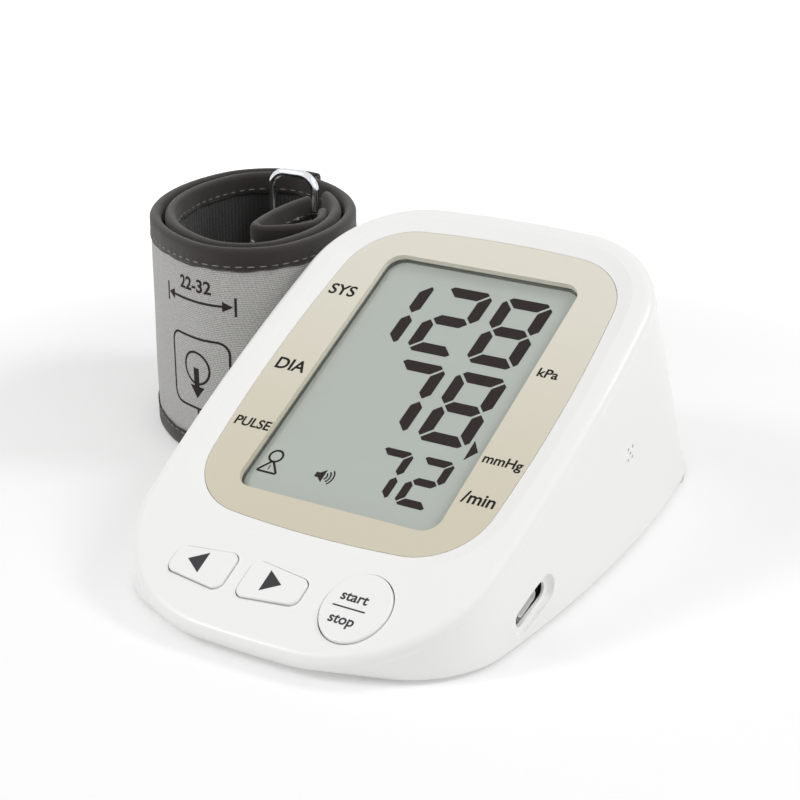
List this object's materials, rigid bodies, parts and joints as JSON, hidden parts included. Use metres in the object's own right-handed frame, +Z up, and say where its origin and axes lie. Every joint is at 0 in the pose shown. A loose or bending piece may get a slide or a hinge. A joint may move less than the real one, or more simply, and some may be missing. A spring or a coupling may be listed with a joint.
{
  "type": "blood pressure monitor",
  "caption": "Wedge-shaped desktop blood pressure monitor with a sloping display, press keys, battery door and side air socket, with a rolled upper-arm cuff standing beside it.",
  "frame": {"origin": "on the table under the middle of the monitor's base, at the level of the feet; the case underside mount is the face just above it", "axes": "+X to the user's right, +Y away from the user towards the monitor's high back, +Z up"},
  "size_m": [0.181, 0.184, 0.0761],
  "materials": {
    "housing": "gloss",
    "bezel": "satin",
    "window": "clear",
    "display": "satin",
    "white_plastic": "matte",
    "dark_plastic": "matte",
    "switch_tip": "matte",
    "rubber": "matte",
    "tubing": "satin",
    "board": "satin",
    "steel": "satin",
    "copper": "satin",
    "cell": "satin",
    "cuff_cloth": "woven",
    "cuff_dark": "ribbed",
    "cuff_tape": "woven",
    "cuff_fitting": "matte",
    "ring": "polished"
  },
  "bodies": {
    "monitor": {"air_socket": "white_plastic", "air_tee": "white_plastic", "batteries": "cell", "battery_contacts": "steel", "battery_springs": "steel", "board_chips": "dark_plastic", "board_screws": "steel", "bottom_cover": "housing", "display_bezel": "bezel", "display_contact_strips": "rubber", "display_window": "window", "housing_screws": "steel", "lcd_holder": "white_plastic", "lcd_panel": "display", "main_board": "board", "port_board": "board", "port_shell": "steel", "port_tongue": "dark_plastic", "pressure_sensor": "dark_plastic", "pump_cushion": "rubber", "pump_diaphragm": "rubber", "pump_head": "white_plastic", "pump_motor_can": "steel", "pump_motor_cap": "steel", "pump_nozzle_cap": "white_plastic", "pump_tube": "tubing", "pump_valve_plate": "white_plastic", "rubber_feet": "rubber", "sensor_tube": "tubing", "socket_seal": "rubber", "socket_tube": "tubing", "speaker": "dark_plastic", "speaker_gasket": "rubber", "switch_bodies": "dark_plastic", "top_cover": "housing", "valve_coil": "copper", "valve_frame": "steel", "valve_tube": "tubing"},
    "left_arrow_key": {"left_arrow_button": "housing", "left_arrow_switch_plunger": "switch_tip"},
    "right_arrow_key": {"right_arrow_button": "housing", "right_arrow_switch_plunger": "switch_tip"},
    "start_stop_key": {"start_stop_button": "housing", "start_stop_switch_plunger": "switch_tip"},
    "door": {"battery_door": "housing"},
    "rotor": {"pump_rotor": "steel"},
    "air_valve_plug": {"valve_plunger": "steel"},
    "cuff": {"cuff_wrap": "cuff_cloth", "cuff_lining": "cuff_dark", "cuff_top_binding": "cuff_tape", "cuff_bottom_binding": "cuff_tape", "cuff_end_binding": "cuff_tape", "cuff_hook_patch": "cuff_dark", "cuff_ring_sleeve": "cuff_tape", "cuff_tail": "cuff_cloth", "cuff_air_port": "cuff_fitting"},
    "ring": {"cuff_ring": "ring"}
  },
  "joints": [
    {"name": "left_arrow_press", "type": "slide", "parent": "monitor", "child": "left_arrow_key", "axis": [0, 0.4617, -0.887], "range_m": [0, 0.0006], "stiffness_N_per_m": 1500},
    {"name": "right_arrow_press", "type": "slide", "parent": "monitor", "child": "right_arrow_key", "axis": [0, 0.4617, -0.887], "range_m": [0, 0.0006], "stiffness_N_per_m": 1500},
    {"name": "start_stop_press", "type": "slide", "parent": "monitor", "child": "start_stop_key", "axis": [0, 0.4617, -0.887], "range_m": [0, 0.0006], "stiffness_N_per_m": 1500},
    {"name": "battery_door_slide", "type": "slide", "parent": "monitor", "child": "door", "axis": [0, 1, 0], "range_m": [0, 0.075]},
    {"name": "pump_rotor_spin", "type": "hinge", "parent": "monitor", "child": "rotor", "pos_m": [0, 0.02415, 0.0343], "axis": [1, 0, 0], "continuous": true},
    {"name": "valve_plug_stroke", "type": "slide", "parent": "monitor", "child": "air_valve_plug", "axis": [0, 0, 1], "range_m": [0, 0.0009], "stiffness_N_per_m": 300},
    {"name": "cuff_lift", "type": "slide", "parent": "monitor", "child": "cuff", "axis": [0, 0, 1], "range_m": [0, 0.2]},
    {"name": "cuff_ring_swing", "type": "hinge", "parent": "cuff", "child": "ring", "pos_m": [-0.08488, 0.06719, 0.04], "axis": [0, 0, 1], "range_deg": [-24, 20]}
  ]
}
